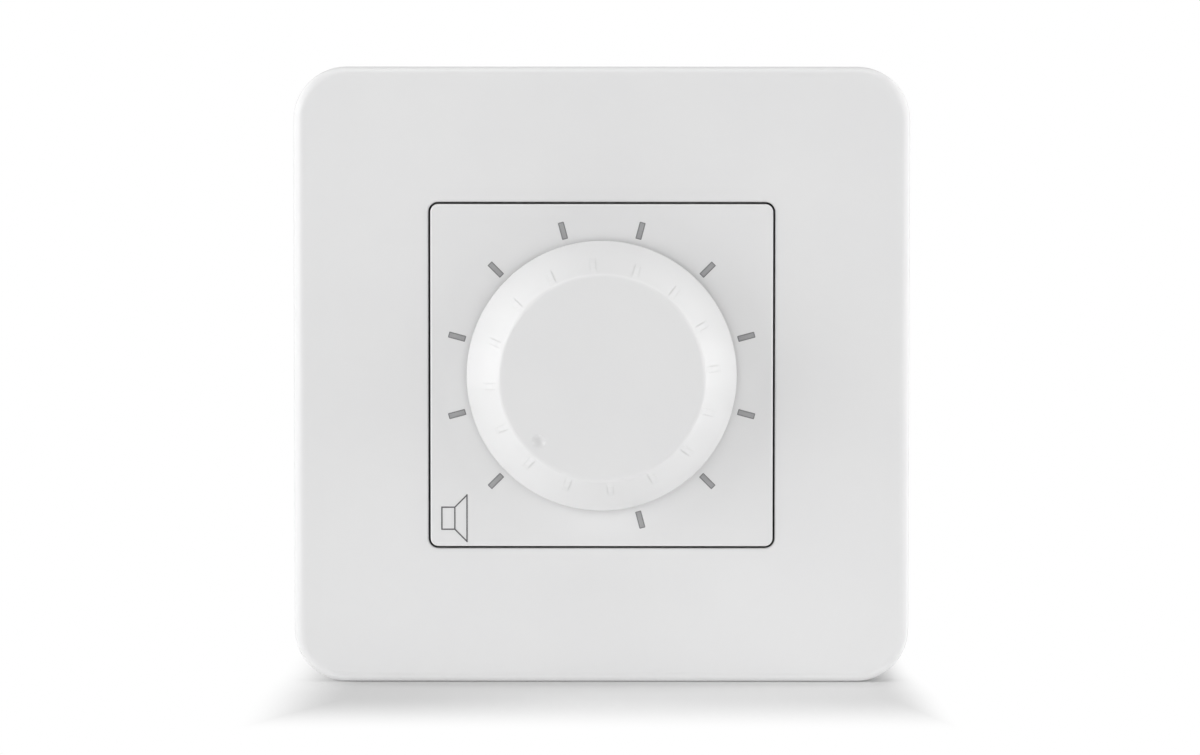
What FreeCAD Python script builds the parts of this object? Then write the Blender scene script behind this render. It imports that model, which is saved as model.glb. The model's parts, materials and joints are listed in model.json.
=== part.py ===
"""Wall-mounted rotary volume control for a loudspeaker line.

Millimetres. The origin is on the knob's axis, in the plane of the wall. +Z is up, +X is to the
right as the user sees it, -Y points at the user and +Y goes into the wall box. A depth is a pair of
Y values, front one first. Angles on the dial are degrees clockwise from the top, as the user sees it.
"""
import FreeCAD
import Part
import math
import os

V = FreeCAD.Vector
AXIS = V(0, 1, 0)

# Cover frame
frame_depth = 9.0
frame_corner_radius = 7.0
frame_edge_round = 1.4
frame_wall = 1.8
frame_face = 2.0
opening_gap = 0.2
opening_edge_round = 0.3
collar_wall = 1.3
collar_seat_gap = 0.2
stiffener_depth = 2.5
stiffener_thickness = 1.0
stiffener_gap = 1.0
hook_arm = 1.2
hook_gap = 0.3
hook_bite = 0.7
hook_nose = 1.2

# Support frame, bent from sheet steel
plate_thickness = 1.0
plate_margin = 3.2
slot_edge = 2.1
plate_corner_radius = 4.0
plate_opening_gap = 0.4
fixing_pitch = 60.0
slot_width = 3.6
slot_length = 6.8
tab_height = 5.0
tab_width = 9.0
tab_offset = 18.0
tab_window_depth = 2.0
tab_window_width = 6.6
tab_front_bar = 1.2

# Insert that carries the whole mechanism
insert_width = 45.0
insert_proud = 0.3
insert_corner_radius = 1.05
insert_edge_round = 0.3
insert_wall = 2.0
skirt_wall = 1.5
skirt_overrun = 0.6
ledge_thickness = 1.2
ledge_reach = 1.4
catch_length = 10.0
catch_reach = 1.4
catch_gap = 0.3
catch_depth = 2.1
recess_radius = 11.0
recess_depth = 3.0
recess_wall = 1.5
post_radius = 2.5
post_inset = 3.2
post_z = 13.0
post_web = 1.2
pilot_depth = 7.0

# Dial
position_count = 11
position_step = 30.0
first_position = 225.0
mark_gap = 0.8
mark_length = 2.3
mark_width = 0.8
print_thickness = 0.03
symbol_stroke = 0.17
symbol_left_margin = 1.5
symbol_height_on_insert = 3.7
symbol_box_width = 1.7
symbol_box_height = 2.9
symbol_horn_length = 1.6
symbol_horn_height = 6.1

# Knob
knob_gap = 0.6
knob_height = 8.3
knob_foot_radius = 17.7
knob_foot_land = 0.6
knob_face_radius = 13.35
knob_face_round = 0.7
knob_wall = 1.7
knob_hub_radius = 4.3
knob_hub_recess = 0.4
knob_hub_slot = 1.0
knob_hub_slot_turn = 45.0
knob_hollow_round = 0.4
knob_web_depth = 2.2
knob_web_thickness = 1.0
grip_rib_count = 16
grip_rib_width = 0.76
grip_rib_height = 0.1
grip_rib_first = 18.0
grip_rib_start = 0.06
grip_rib_full = 0.16
grip_rib_fade = 0.34
grip_rib_end = 0.5
dimple_radius = 0.9
dimple_depth = 0.35
dimple_distance = 11.5
grip_ring_thickness = 0.6
grip_ring_width = 1.5
grip_ring_play = 0.05

# Switch shaft and what sits on its bushing
shaft_radius = 3.0
shaft_flat = 1.5
shaft_end_gap = 0.25
shaft_square = 4.4
shaft_pivot_radius = 1.25
running_clearance = 0.04
fixed_clearance = 0.05
bushing_radius = 4.5
bushing_overrun = 0.5
clip_thickness = 0.55
clip_radius = 4.4
clip_groove_radius = 2.3
clip_play = 0.15
clip_mouth = 3.9
clip_turn = 90.0
nut_across_flats = 12.0
nut_thickness = 2.0
lock_washer_radius = 7.0
lock_washer_thickness = 0.5
lock_washer_teeth = 8
lock_washer_notch_width = 1.2
lock_washer_notch_depth = 0.8

# Rotary switch
stop_washer_thickness = 0.5
stop_tab_half_angle = 14.0
stop_slot_play = 1.0
stop_play_angle = 0.5
peg_radius = 1.0
peg_inset = 0.6
peg_end_gap = 0.4
cover_thickness = 1.5
cover_step_depth = 0.8
cover_step_width = 0.9
switch_wall = 1.3
switch_depth = 8.5
switch_floor = 1.5
switch_hook_thickness = 0.8
switch_hook_half_angle = 10.0
switch_hook_angles = (60.0, 180.0, 300.0)
switch_foot_radius = 0.8
switch_foot_inset = 1.0
switch_foot_angles = (0.0, 120.0, 240.0)
board_standoff = 1.8

# Rotor, detent and contacts
rotor_play = 0.2
lug_height = 1.2
lug_width = 1.9
lug_inset = 0.2
lug_rim = 0.6
star_radius = 8.0
star_thickness = 3.0
star_notches = 12
notch_depth = 0.75
notch_half_width = 0.8
leaf_thickness = 0.35
leaf_end_gap = 0.24
leaf_gap = 0.95
leaf_bump_half_width = 1.5
leaf_bump_tip = 0.2
leaf_bump_gap = 0.25
leaf_margin = 0.3
leaf_overlap = 0.4
leaf_post_width = 1.0
leaf_post_depth = 0.85
contact_count = 12
contact_thickness = 0.3
contact_inset = 0.2
contact_length = 2.8
contact_wall_gap = 0.6
contact_width = 2.2
contact_pin_inset = 0.4
contact_pin_width = 0.8
contact_pin_thickness = 0.5
common_inner = 2.6
common_outer = 4.2
common_pin_angle = 15.0
wiper_thickness = 0.3
wiper_width = 2.0
wiper_seat_inner = 4.6
wiper_seat_outer = 6.4
wiper_reach = 0.8
wiper_tip_length = 0.3
contact_air = 0.05
stake_radius = 0.6
stake_height = 0.5

# Circuit board
board_margin = 0.25
board_chamfer = 6.0
board_thickness = 1.6
pin_overrun = 0.8
hole_play = 0.15
solder_radius = 0.95
solder_tip_radius = 0.6
solder_height = 0.5
screw_radius = 1.05
screw_length = 6.0
screw_head_radius = 1.9
screw_head_height = 1.4
screw_clearance = 0.05
cross_width = 0.5
cross_length = 2.2
cross_depth = 0.7

# Autotransformer
core_width = 30.0
core_height = 25.0
core_leg = 5.0
core_z = 6.5
sheet_count = 25
sheet_pitch = 0.5
sheet_air = 0.03
bobbin_wall = 0.9
bobbin_play = 0.1
bobbin_stack_play = 0.15
flange_gap = 0.2
flange_rise = 3.9
rail_inset = 0.5
rail_overhang = 0.4
rail_play = 0.2
rail_stand = 1.2
rail_foot_width = 1.0
winding_side_inset = 0.5
winding_face_inset = 0.4
winding_round = 2.5
winding_play = 0.1
tape_thickness = 0.25
tape_play = 0.02
bobbin_pin_radius = 0.4
bobbin_pin_pitch = 5.0
bobbin_pins_per_rail = 6
bobbin_pin_edge = 1.8
bobbin_pin_grip = 3.0
clamp_sheet = 0.8
clamp_play = 0.1
clamp_strip = 1.8
clamp_bend = 1.0
clamp_window_play = 0.3
clamp_leg_clearance = 3.0
clamp_tab_width = 2.5
clamp_tab_offset = 2.5
clamp_foot = 1.1

# Terminal block
pole_count = 4
pole_pitch = 5.08
block_end_wall = 0.3
block_solder_gap = 0.4
block_floor = 1.0
block_wire_wall = 1.3
block_back_wall = 1.2
block_groove = 0.4
chamber_gap = 0.88
cage_play = 0.1
cage_side_wall = 0.6
cage_bottom_wall = 0.8
cage_top_wall = 1.0
cage_depth = 4.4
wire_hole_radius = 1.3
wire_gap = 0.1
bar_thickness = 0.8
bar_side_gap = 0.2
bar_pin_thickness = 0.8
bar_pin_gap = 0.7
bar_front_gap = 0.5
clamp_screw_radius = 1.25
clamp_screw_pitch = 0.45
clamp_screw_turns = 5.0
clamp_screw_head_radius = 1.9
clamp_screw_head_height = 1.5
clamp_head_play = 0.1
driver_hole_radius = 1.5
driver_hole_depth = 0.6
driver_slot_width = 0.6
driver_slot_depth = 0.8

# Planes along the depth, from the user into the wall
frame_front = -frame_depth
frame_back = 0.0
frame_inside = frame_front + frame_face
plate_front = -plate_thickness
ledge_front = plate_front - ledge_thickness
collar_back = ledge_front - collar_seat_gap
insert_front = frame_front - insert_proud
insert_back = insert_front + insert_wall
recess_front = insert_front + recess_depth
recess_back = recess_front + insert_wall
skirt_end = skirt_overrun
knob_back = insert_front - knob_gap
knob_front = knob_back - knob_height
knob_inside = knob_front + knob_wall
knob_side_spread = knob_foot_radius - knob_face_radius
knob_side_depth = knob_height - knob_foot_land
nut_back = recess_front - lock_washer_thickness
nut_front = nut_back - nut_thickness
bushing_front = nut_front - bushing_overrun
clip_back = bushing_front - clip_play
clip_front = clip_back - clip_thickness
hub_back = clip_front - knob_hub_recess
cover_front = recess_back + stop_washer_thickness
cover_back = cover_front + cover_thickness
lug_front = cover_back + rotor_play
star_front = lug_front + lug_height
star_back = star_front + star_thickness
switch_back = cover_back + switch_depth
floor_front = switch_back - switch_floor
contact_front = floor_front - contact_thickness
board_front = switch_back + board_standoff
board_back = board_front + board_thickness
stack_half = sheet_count * sheet_pitch / 2
tube_half_depth = stack_half + bobbin_stack_play + bobbin_wall
flange_depth = 2 * (tube_half_depth + flange_rise)
rail_front_offset = flange_depth / 2 + rail_overhang
core_y = board_back + rail_stand + rail_front_offset
front_pin_end = board_front - pin_overrun
back_pin_end = board_back + pin_overrun
shaft_front = knob_inside + shaft_end_gap
pivot_front = star_back + wiper_thickness
pivot_end = switch_back - switch_floor / 3

# Widths, radii and rows that several pieces share
opening_width = insert_width + 2 * opening_gap
ledge_width = insert_width + 2 * ledge_reach
plate_opening = insert_width + 2 * plate_opening_gap
plate_width = fixing_pitch + slot_length + 2 * slot_edge
frame_width = plate_width + 2 * plate_margin + 2 * frame_wall
stiffener_offset = tab_offset - tab_width / 2 - stiffener_gap - stiffener_thickness / 2
skirt_inner_width = insert_width - 2 * skirt_wall
board_width = skirt_inner_width - 2 * board_margin
post_x = skirt_inner_width / 2 - post_inset
mark_circle_radius = knob_foot_radius + mark_gap + mark_length / 2
travel = (position_count - 1) * position_step
stop_centre = first_position - (360.0 - travel) / 2
lug_outer = star_radius - lug_inset
lug_inner = lug_outer - lug_width
stop_tab_outer = lug_outer - lug_rim
stop_tab_inner = stop_tab_outer - stop_washer_thickness
contact_inner = star_radius - contact_inset
contact_outer = contact_inner + contact_length
contact_pin_distance = contact_outer - contact_pin_inset
common_pin_distance = (common_inner + common_outer) / 2
switch_inner_radius = contact_outer + contact_wall_gap
switch_radius = switch_inner_radius + switch_wall
cover_step_radius = switch_radius - cover_step_width
switch_foot_distance = switch_radius - switch_foot_inset
peg_distance = recess_radius - peg_radius - peg_inset
leaf_near = star_radius + leaf_gap
leaf_far = leaf_near + leaf_thickness
leaf_half_length = math.sqrt(switch_inner_radius ** 2 - leaf_far ** 2) - leaf_end_gap
window_half_height = core_height / 2 - core_leg
window_outer = core_width / 2 - core_leg
tube_half_width = core_leg + bobbin_play + bobbin_wall
bobbin_half_height = window_half_height - bobbin_play
winding_half_height = bobbin_half_height - bobbin_wall - winding_play
flange_width = 2 * (window_outer - flange_gap)
winding_width = flange_width - 2 * winding_side_inset
winding_depth = flange_depth - 2 * winding_face_inset
rail_width = core_width - 2 * rail_inset
rail_end = core_height / 2 - rail_inset
bobbin_pin_row = rail_end - bobbin_pin_edge
clamp_height = 2 * (bobbin_half_height + clamp_window_play + clamp_strip)
mark_angles = [first_position + i * position_step for i in range(position_count)]
contact_angles = [first_position + i * 360.0 / contact_count for i in range(contact_count)]
post_places = [(x, z) for x in (-post_x, post_x) for z in (-post_z, post_z)]
pole_places = [(i - (pole_count - 1) / 2) * pole_pitch for i in range(pole_count)]

# Heights inside one pole of the terminal block, from the board outwards
cage_bottom = board_back + block_floor + cage_play
cage_floor = cage_bottom + cage_bottom_wall
wire_y = cage_floor + wire_gap + wire_hole_radius
bar_near = wire_y + wire_hole_radius + wire_gap
bar_far = bar_near + bar_thickness
cage_roof = bar_far + cage_play
cage_top = cage_roof + cage_top_wall
clamp_travel = clamp_screw_turns * clamp_screw_pitch
chamber_top = cage_top + clamp_travel + cage_play
screw_tip = bar_far + fixed_clearance
screw_head_near = chamber_top + clamp_head_play
screw_head_far = screw_head_near + clamp_screw_head_height
seat_top = screw_head_far + clamp_head_play
block_top = seat_top + driver_hole_depth

# Heights up one pole of the terminal block, from the switch's lowest solder joint down to the wires
lowest_switch_pin = -contact_pin_distance * math.cos(math.radians(position_step / 2))
block_high = lowest_switch_pin - solder_radius - block_solder_gap
chamber_high = block_high - block_back_wall
bar_high = chamber_high - cage_play
bar_pin_z = bar_high - bar_pin_thickness / 2
cage_high = bar_high - bar_pin_thickness - bar_pin_gap
cage_low = cage_high - cage_depth
cage_z = (cage_low + cage_high) / 2
bar_low = cage_low - cage_play
chamber_low = bar_low - bar_front_gap
block_low = chamber_low - block_wire_wall
chamber_width = pole_pitch - chamber_gap
cage_width = chamber_width - 2 * cage_play
bar_width = cage_width - 2 * cage_side_wall - 2 * bar_side_gap


def box(x, y, z):
    """Block between three pairs of coordinates."""
    return Part.makeBox(x[1] - x[0], y[1] - y[0], z[1] - z[0], V(x[0], y[0], z[0]))


def block(width, y, height, x=0.0, z=0.0):
    """Block of a width and height centred on a point of the XZ plane."""
    return box((x - width / 2, x + width / 2), y, (z - height / 2, z + height / 2))


def disc(radius, y, x=0.0, z=0.0):
    """Cylinder along the depth."""
    return Part.makeCylinder(radius, y[1] - y[0], V(x, y[0], z), AXIS)


def ring(outer, inner, y):
    """Flat ring round the knob's axis."""
    return disc(outer, y).cut(disc(inner, y))


def prism(points, y):
    """Outline of (x, z) points, extruded along the depth."""
    corners = [V(x, y[0], z) for x, z in points]
    return Part.Face(Part.makePolygon(corners + corners[:1])).extrude(V(0, y[1] - y[0], 0))


def standing_prism(points, z):
    """Outline of (x, y) points, extruded upwards."""
    corners = [V(x, y, z[0]) for x, y in points]
    return Part.Face(Part.makePolygon(corners + corners[:1])).extrude(V(0, 0, z[1] - z[0]))


def radial_prism(points, width):
    """Outline of (distance from the axis, y) points at the top of the dial, width across."""
    corners = [V(-width / 2, y, r) for r, y in points]
    return Part.Face(Part.makePolygon(corners + corners[:1])).extrude(V(width, 0, 0))


def rounded_plate(width, height, radius, y, z=0.0):
    """Plate with four rounded corners, centred on x = 0."""
    plate = block(width, y, height, 0.0, z)
    upright = [e for e in plate.Edges if abs(e.tangentAt(e.FirstParameter).y) > 0.9]
    return plate.makeFillet(radius, upright)


def round_front_edge(shape, radius, front):
    """The same shape with the whole edge of its front face rounded."""
    edges = [e for e in shape.Edges if e.BoundBox.YMax < front + 0.001]
    return shape.makeFillet(radius, edges)


def sector(outer, inner, half_angle, y):
    """Slice of a ring, centred on the top of the dial."""
    turn = math.radians(half_angle)

    def spot(radius, angle):
        return V(radius * math.sin(angle), y[0], radius * math.cos(angle))

    edges = [
        Part.Arc(spot(outer, -turn), spot(outer, 0), spot(outer, turn)).toShape(),
        Part.LineSegment(spot(outer, turn), spot(inner, turn)).toShape(),
        Part.Arc(spot(inner, turn), spot(inner, 0), spot(inner, -turn)).toShape(),
        Part.LineSegment(spot(inner, -turn), spot(outer, -turn)).toShape(),
    ]
    return Part.Face(Part.Wire(edges)).extrude(V(0, y[1] - y[0], 0))


def on_dial(shape, angle):
    """A shape made at the top of the dial, turned clockwise to its angle."""
    turned = shape.copy()
    turned.rotate(V(0, 0, 0), AXIS, angle)
    return turned


def mirrored(shape):
    """A shape and its mirror image on the other side of the middle plane."""
    return [shape, shape.mirror(V(0, 0, 0), V(1, 0, 0))]


def joined(shapes):
    """One solid from shapes that run into each other."""
    return shapes[0].multiFuse(shapes[1:]).removeSplitter()


def dial_spot(radius, angle):
    """x and z of a point on the dial."""
    turn = math.radians(angle)
    return radius * math.sin(turn), radius * math.cos(turn)


def cover_frame():
    """Tray with a square opening, a collar round it, stiffeners and four snap hooks."""
    half = frame_width / 2
    inner_half = half - frame_wall
    shell = rounded_plate(frame_width, frame_width, frame_corner_radius, (frame_front, frame_back))
    shell = round_front_edge(shell, frame_edge_round, frame_front)
    hollow = rounded_plate(2 * inner_half, 2 * inner_half, frame_corner_radius - frame_wall,
                           (frame_inside, frame_back))
    collar_width = opening_width + 2 * collar_wall
    collar = rounded_plate(collar_width, collar_width, insert_corner_radius + collar_wall,
                           (frame_inside, collar_back))
    extras = [collar]
    for quarter in range(4):
        for offset in (-stiffener_offset, stiffener_offset):
            bar = box((offset - stiffener_thickness / 2, offset + stiffener_thickness / 2),
                      (frame_inside, frame_inside + stiffener_depth),
                      (opening_width / 2 + collar_wall / 2, inner_half + frame_wall / 2))
            extras.append(on_dial(bar, 90.0 * quarter))
    opening = rounded_plate(opening_width, opening_width, insert_corner_radius + opening_gap,
                            (frame_front, collar_back))
    body = joined([shell.cut(hollow)] + extras + snap_hooks())
    body = body.cut(opening)
    rim = [e for e in body.Edges if e.BoundBox.YMax < frame_front + 0.001
           and e.BoundBox.XMax < opening_width / 2 + 0.001 and e.BoundBox.XMin > -opening_width / 2 - 0.001]
    return body.makeFillet(opening_edge_round, rim)


def snap_hooks():
    """Arms inside the cover frame, whose noses drop into the windows of the support frame's tabs."""
    near = plate_width / 2 + hook_gap
    far = near + hook_arm
    tip = plate_width / 2 - hook_bite
    window_front = plate_front - tab_height + tab_front_bar
    middle = window_front + tab_window_depth / 2
    nose = (middle - hook_nose / 2, middle + hook_nose / 2)
    outline = [(far, frame_inside - frame_face / 2), (far, nose[1]), (near, nose[1]), (tip, middle),
               (tip, nose[0]), (near, nose[0]), (near, frame_inside - frame_face / 2)]
    hook_width = tab_window_width - 2 * hook_gap
    hooks = []
    for z in (-tab_offset, tab_offset):
        hook = standing_prism(outline, (z - hook_width / 2, z + hook_width / 2))
        hooks += mirrored(hook)
    return hooks


def fixing_slot():
    """Slot that lies along x, half the fixing pitch from the middle."""
    straight = slot_length - slot_width
    centre = fixing_pitch / 2
    depth = (plate_front, frame_back)
    ends = [disc(slot_width / 2, depth, centre + side * straight / 2) for side in (-1, 1)]
    return joined([block(straight, depth, slot_width, centre)] + ends)


def support_frame():
    """Steel plate with the insert's opening, four slots and four tabs bent towards the user."""
    depth = (plate_front, frame_back)
    plate = rounded_plate(plate_width, plate_width, plate_corner_radius, depth)
    plate = plate.cut(rounded_plate(plate_opening, plate_opening, insert_corner_radius, depth))
    outer = plate_width / 2
    tab_front = plate_front - tab_height
    window = (tab_front + tab_front_bar, tab_front + tab_front_bar + tab_window_depth)
    tabs = []
    for z in (-tab_offset, tab_offset):
        tab = box((outer - plate_thickness, outer), (tab_front, frame_back),
                  (z - tab_width / 2, z + tab_width / 2))
        hole = box((outer - 2 * plate_thickness, outer + plate_thickness), window,
                   (z - tab_window_width / 2, z + tab_window_width / 2))
        tabs += mirrored(tab.cut(hole))
    frame = joined([plate] + tabs)
    for quarter in range(4):
        frame = frame.cut(on_dial(fixing_slot(), 90.0 * quarter))
    return frame


def module_front():
    """Insert: visible face, recess for the switch's nut, skirt with its ledge, catches and board posts."""
    half = insert_width / 2
    face = rounded_plate(insert_width, insert_width, insert_corner_radius, (insert_front, insert_back))
    face = round_front_edge(face, insert_edge_round, insert_front)
    skirt = rounded_plate(insert_width, insert_width, insert_corner_radius, (insert_back, skirt_end))
    ledge = rounded_plate(ledge_width, ledge_width, insert_corner_radius + ledge_reach,
                          (ledge_front, plate_front))
    skirt = joined([skirt, ledge])
    skirt = skirt.cut(block(skirt_inner_width, (insert_back, skirt_end), skirt_inner_width))
    cup = disc(recess_radius + recess_wall, (insert_front + insert_wall / 2, recess_back))
    solids = [face, skirt, cup]
    catch_end = catch_gap + catch_depth
    catch = standing_prism(
        [(half - skirt_wall, skirt_end / 2), (half, skirt_end / 2), (half, catch_gap),
         (half + catch_reach, catch_gap), (half + catch_reach, catch_gap + catch_depth / 3),
         (half, catch_end), (half - skirt_wall, catch_end)],
        (-catch_length / 2, catch_length / 2))
    solids += mirrored(catch)
    for x, z in post_places:
        web_end = math.copysign(half - skirt_wall / 2, x)
        solids.append(disc(post_radius, (insert_back - insert_wall / 2, board_front), x, z))
        solids.append(box(sorted((x, web_end)), (insert_back, frame_back),
                          (z - post_web / 2, z + post_web / 2)))
    body = joined(solids)
    body = body.cut(disc(recess_radius, (insert_front, recess_front)))
    body = body.cut(disc(bushing_radius + fixed_clearance, (recess_front, recess_back)))
    body = body.cut(disc(peg_radius + fixed_clearance, (recess_front, recess_back), 0.0, peg_distance))
    for x, z in post_places:
        pilot = disc(screw_radius + screw_clearance, (board_front - pilot_depth, board_front), x, z)
        body = body.cut(pilot)
    return body


def dial_marks():
    """Radial marks, one at each position of the switch."""
    mark = block(mark_width, (insert_front - print_thickness, insert_front), mark_length,
                 0.0, mark_circle_radius)
    return [on_dial(mark, angle) for angle in mark_angles]


def stroke(start, end):
    """Printed line between two (x, z) points, with square ends half a stroke long."""
    length = math.hypot(end[0] - start[0], end[1] - start[1])
    along_x = (end[0] - start[0]) / length * symbol_stroke / 2
    along_z = (end[1] - start[1]) / length * symbol_stroke / 2
    corners = [
        (start[0] - along_x - along_z, start[1] - along_z + along_x),
        (end[0] + along_x - along_z, end[1] + along_z + along_x),
        (end[0] + along_x + along_z, end[1] + along_z - along_x),
        (start[0] - along_x + along_z, start[1] - along_z - along_x),
    ]
    return prism(corners, (insert_front - print_thickness, insert_front))


def speaker_symbol():
    """Outline of a loudspeaker: a box for the magnet and a horn that opens to the right."""
    left = -insert_width / 2 + symbol_left_margin
    right = left + symbol_box_width
    mouth = right + symbol_horn_length
    middle = -insert_width / 2 + symbol_height_on_insert
    top_left = (left, middle + symbol_box_height / 2)
    top_right = (right, middle + symbol_box_height / 2)
    bottom_left = (left, middle - symbol_box_height / 2)
    bottom_right = (right, middle - symbol_box_height / 2)
    horn_top = (mouth, middle + symbol_horn_height / 2)
    horn_bottom = (mouth, middle - symbol_horn_height / 2)
    lines = [(top_left, top_right), (top_left, bottom_left), (bottom_left, bottom_right),
             (top_right, bottom_right), (top_right, horn_top), (horn_top, horn_bottom),
             (horn_bottom, bottom_right)]
    return joined([stroke(start, end) for start, end in lines])


def knob_profile():
    """Edges of the knob's outer half outline, from its face down the conical side to its foot."""
    slope = math.hypot(knob_side_spread, knob_side_depth)
    lean = math.atan2(knob_side_spread, knob_side_depth)
    cut_back = knob_face_round * math.tan((math.pi / 2 - lean) / 2)
    run_r = knob_side_spread / slope
    run_y = knob_side_depth / slope
    face_end = V(0, knob_front, knob_face_radius - cut_back)
    side_start = V(0, knob_front + cut_back * run_y, knob_face_radius + cut_back * run_r)
    half_turn = (math.pi / 2 - lean) / 2
    round_middle = V(0, knob_front + knob_face_round * (1 - math.cos(half_turn)),
                     face_end.z + knob_face_round * math.sin(half_turn))
    foot_top = V(0, knob_front + knob_side_depth, knob_foot_radius)
    return [
        Part.LineSegment(V(0, knob_front, 0), face_end).toShape(),
        Part.Arc(face_end, round_middle, side_start).toShape(),
        Part.LineSegment(side_start, foot_top).toShape(),
        Part.LineSegment(foot_top, V(0, knob_back, knob_foot_radius)).toShape(),
        Part.LineSegment(V(0, knob_back, knob_foot_radius), V(0, knob_back, 0)).toShape(),
        Part.LineSegment(V(0, knob_back, 0), V(0, knob_front, 0)).toShape(),
    ]


def turned_solid(points):
    """Solid turned round the knob's axis from (distance from the axis, y) points."""
    corners = [V(0, y, r) for r, y in points]
    return Part.Face(Part.makePolygon(corners + corners[:1])).revolve(V(0, 0, 0), AXIS, 360)


def grip_rib():
    """Low rib on the front half of the knob's side, which fades out at both ends."""
    def spot(share, lift):
        return knob_face_radius + knob_side_spread * share + lift, knob_front + knob_side_depth * share

    sunk = -3 * grip_rib_height
    return radial_prism([spot(grip_rib_start, sunk), spot(grip_rib_start, 0.0),
                         spot(grip_rib_full, grip_rib_height), spot(grip_rib_fade, grip_rib_height),
                         spot(grip_rib_end, 0.0), spot(grip_rib_end, sunk)], grip_rib_width)


def shaft_section(radius, flat, y):
    """Round bar with one flat, which faces the pointer's side of the dial."""
    bar = disc(radius, y)
    return bar.cut(box((-radius, radius), y, (flat, 2 * radius)))


def knob():
    """Hollow knob with its hub, webs, grip ribs and pointer dimple, set to the first position."""
    body = Part.Face(Part.Wire(knob_profile())).revolve(V(0, 0, 0), AXIS, 360)
    hollow_end = knob_face_radius - knob_wall + knob_hollow_round
    hollow = turned_solid([(0, knob_inside), (hollow_end, knob_inside),
                           (knob_foot_radius - knob_wall, knob_back), (0, knob_back)])
    body = body.cut(hollow)
    hub = disc(knob_hub_radius, (knob_inside - knob_wall / 2, hub_back))
    solids = [body, hub]
    web_depths = (knob_inside - knob_wall / 2, knob_inside + knob_web_depth)
    web = box((-knob_web_thickness / 2, knob_web_thickness / 2), web_depths,
              (knob_hub_radius - knob_web_thickness / 2, hollow_end + knob_wall / 3))
    solids += [on_dial(web, 90.0 * quarter) for quarter in range(4)]
    for i in range(grip_rib_count):
        solids.append(on_dial(grip_rib(), grip_rib_first + i * 360.0 / grip_rib_count))
    body = joined(solids)
    bore = shaft_section(shaft_radius + fixed_clearance, shaft_flat + fixed_clearance,
                         (shaft_front - fixed_clearance, hub_back))
    body = body.cut(on_dial(bore, first_position))
    split = block(knob_hub_slot, (knob_inside + knob_web_depth, hub_back), 3 * knob_hub_radius)
    body = body.cut(on_dial(split, first_position + knob_hub_slot_turn))
    ball_radius = (dimple_radius ** 2 + dimple_depth ** 2) / (2 * dimple_depth)
    x, z = dial_spot(dimple_distance, first_position)
    ball = Part.makeSphere(ball_radius, V(x, knob_front + dimple_depth - ball_radius, z))
    return body.cut(ball)


def knob_grip_ring():
    """Open spring ring round the knob's split hub."""
    middle = (knob_inside + knob_web_depth + hub_back) / 2
    depth = (middle - grip_ring_width / 2, middle + grip_ring_width / 2)
    inner = knob_hub_radius + grip_ring_play
    band = ring(inner + grip_ring_thickness, inner, depth)
    mouth = box((-knob_hub_slot, knob_hub_slot), depth, (0, 2 * knob_hub_radius))
    return on_dial(band.cut(mouth), first_position + knob_hub_slot_turn)


def switch_shaft():
    """Shaft: flat for the knob, groove for the clip, square for the rotor and pivot in the floor."""
    round_part = disc(shaft_radius, (shaft_front, lug_front))
    flat = box((-shaft_radius, shaft_radius), (shaft_front, hub_back), (shaft_flat, 2 * shaft_radius))
    groove = ring(2 * shaft_radius, clip_groove_radius,
                  (clip_front - fixed_clearance, clip_back + fixed_clearance))
    square = block(shaft_square, (lug_front, pivot_front), shaft_square)
    pivot = disc(shaft_pivot_radius, (pivot_front, pivot_end - fixed_clearance))
    bar = round_part.cut(flat).cut(groove)
    return on_dial(joined([bar, square, pivot]), first_position)


def shaft_clip():
    """Retaining clip in the shaft's groove, open on one side."""
    depth = (clip_front, clip_back)
    clip = ring(clip_radius, clip_groove_radius + fixed_clearance, depth)
    return on_dial(clip.cut(box((-clip_mouth / 2, clip_mouth / 2), depth, (0, 2 * clip_radius))), clip_turn)


def switch_nut():
    """Hex nut on the bushing, in the insert's recess."""
    corner = nut_across_flats / math.sqrt(3)
    depth = (nut_front, nut_back)
    outline = [dial_spot(corner, 60.0 * i) for i in range(6)]
    return prism(outline, depth).cut(disc(bushing_radius + fixed_clearance, depth))


def lock_washer():
    """Washer under the nut, with teeth cut into its rim."""
    depth = (nut_back, recess_front)
    washer = ring(lock_washer_radius, bushing_radius + fixed_clearance, depth)
    notch = block(lock_washer_notch_width, depth, 2 * lock_washer_notch_depth, 0.0, lock_washer_radius)
    for i in range(lock_washer_teeth):
        washer = washer.cut(on_dial(notch, i * 360.0 / lock_washer_teeth))
    return washer


def stop_washer():
    """Washer on the bushing whose tab reaches into the switch and ends the rotor's travel."""
    depth = (recess_back, cover_front)
    washer = ring(stop_tab_outer, bushing_radius + fixed_clearance, depth)
    tab = sector(stop_tab_outer, stop_tab_inner, stop_tab_half_angle, (recess_back, star_front - rotor_play))
    return joined([washer, on_dial(tab, stop_centre)])


def switch_cover():
    """Metal front of the switch: stepped disc, bushing, locating peg and the stop tab's slot."""
    disc_part = disc(switch_radius, (cover_front + cover_step_depth, cover_back))
    step = disc(cover_step_radius, (cover_front, cover_back))
    bushing = disc(bushing_radius, (bushing_front, cover_back))
    peg = disc(peg_radius, (recess_front + peg_end_gap, cover_back), 0.0, peg_distance)
    body = joined([disc_part, step, bushing, peg])
    body = body.cut(disc(shaft_radius + running_clearance, (bushing_front, cover_back)))
    slot = sector(stop_tab_outer + hole_play, stop_tab_inner - hole_play,
                  stop_tab_half_angle + stop_slot_play, (cover_front, cover_back))
    return body.cut(on_dial(slot, stop_centre))


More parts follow.
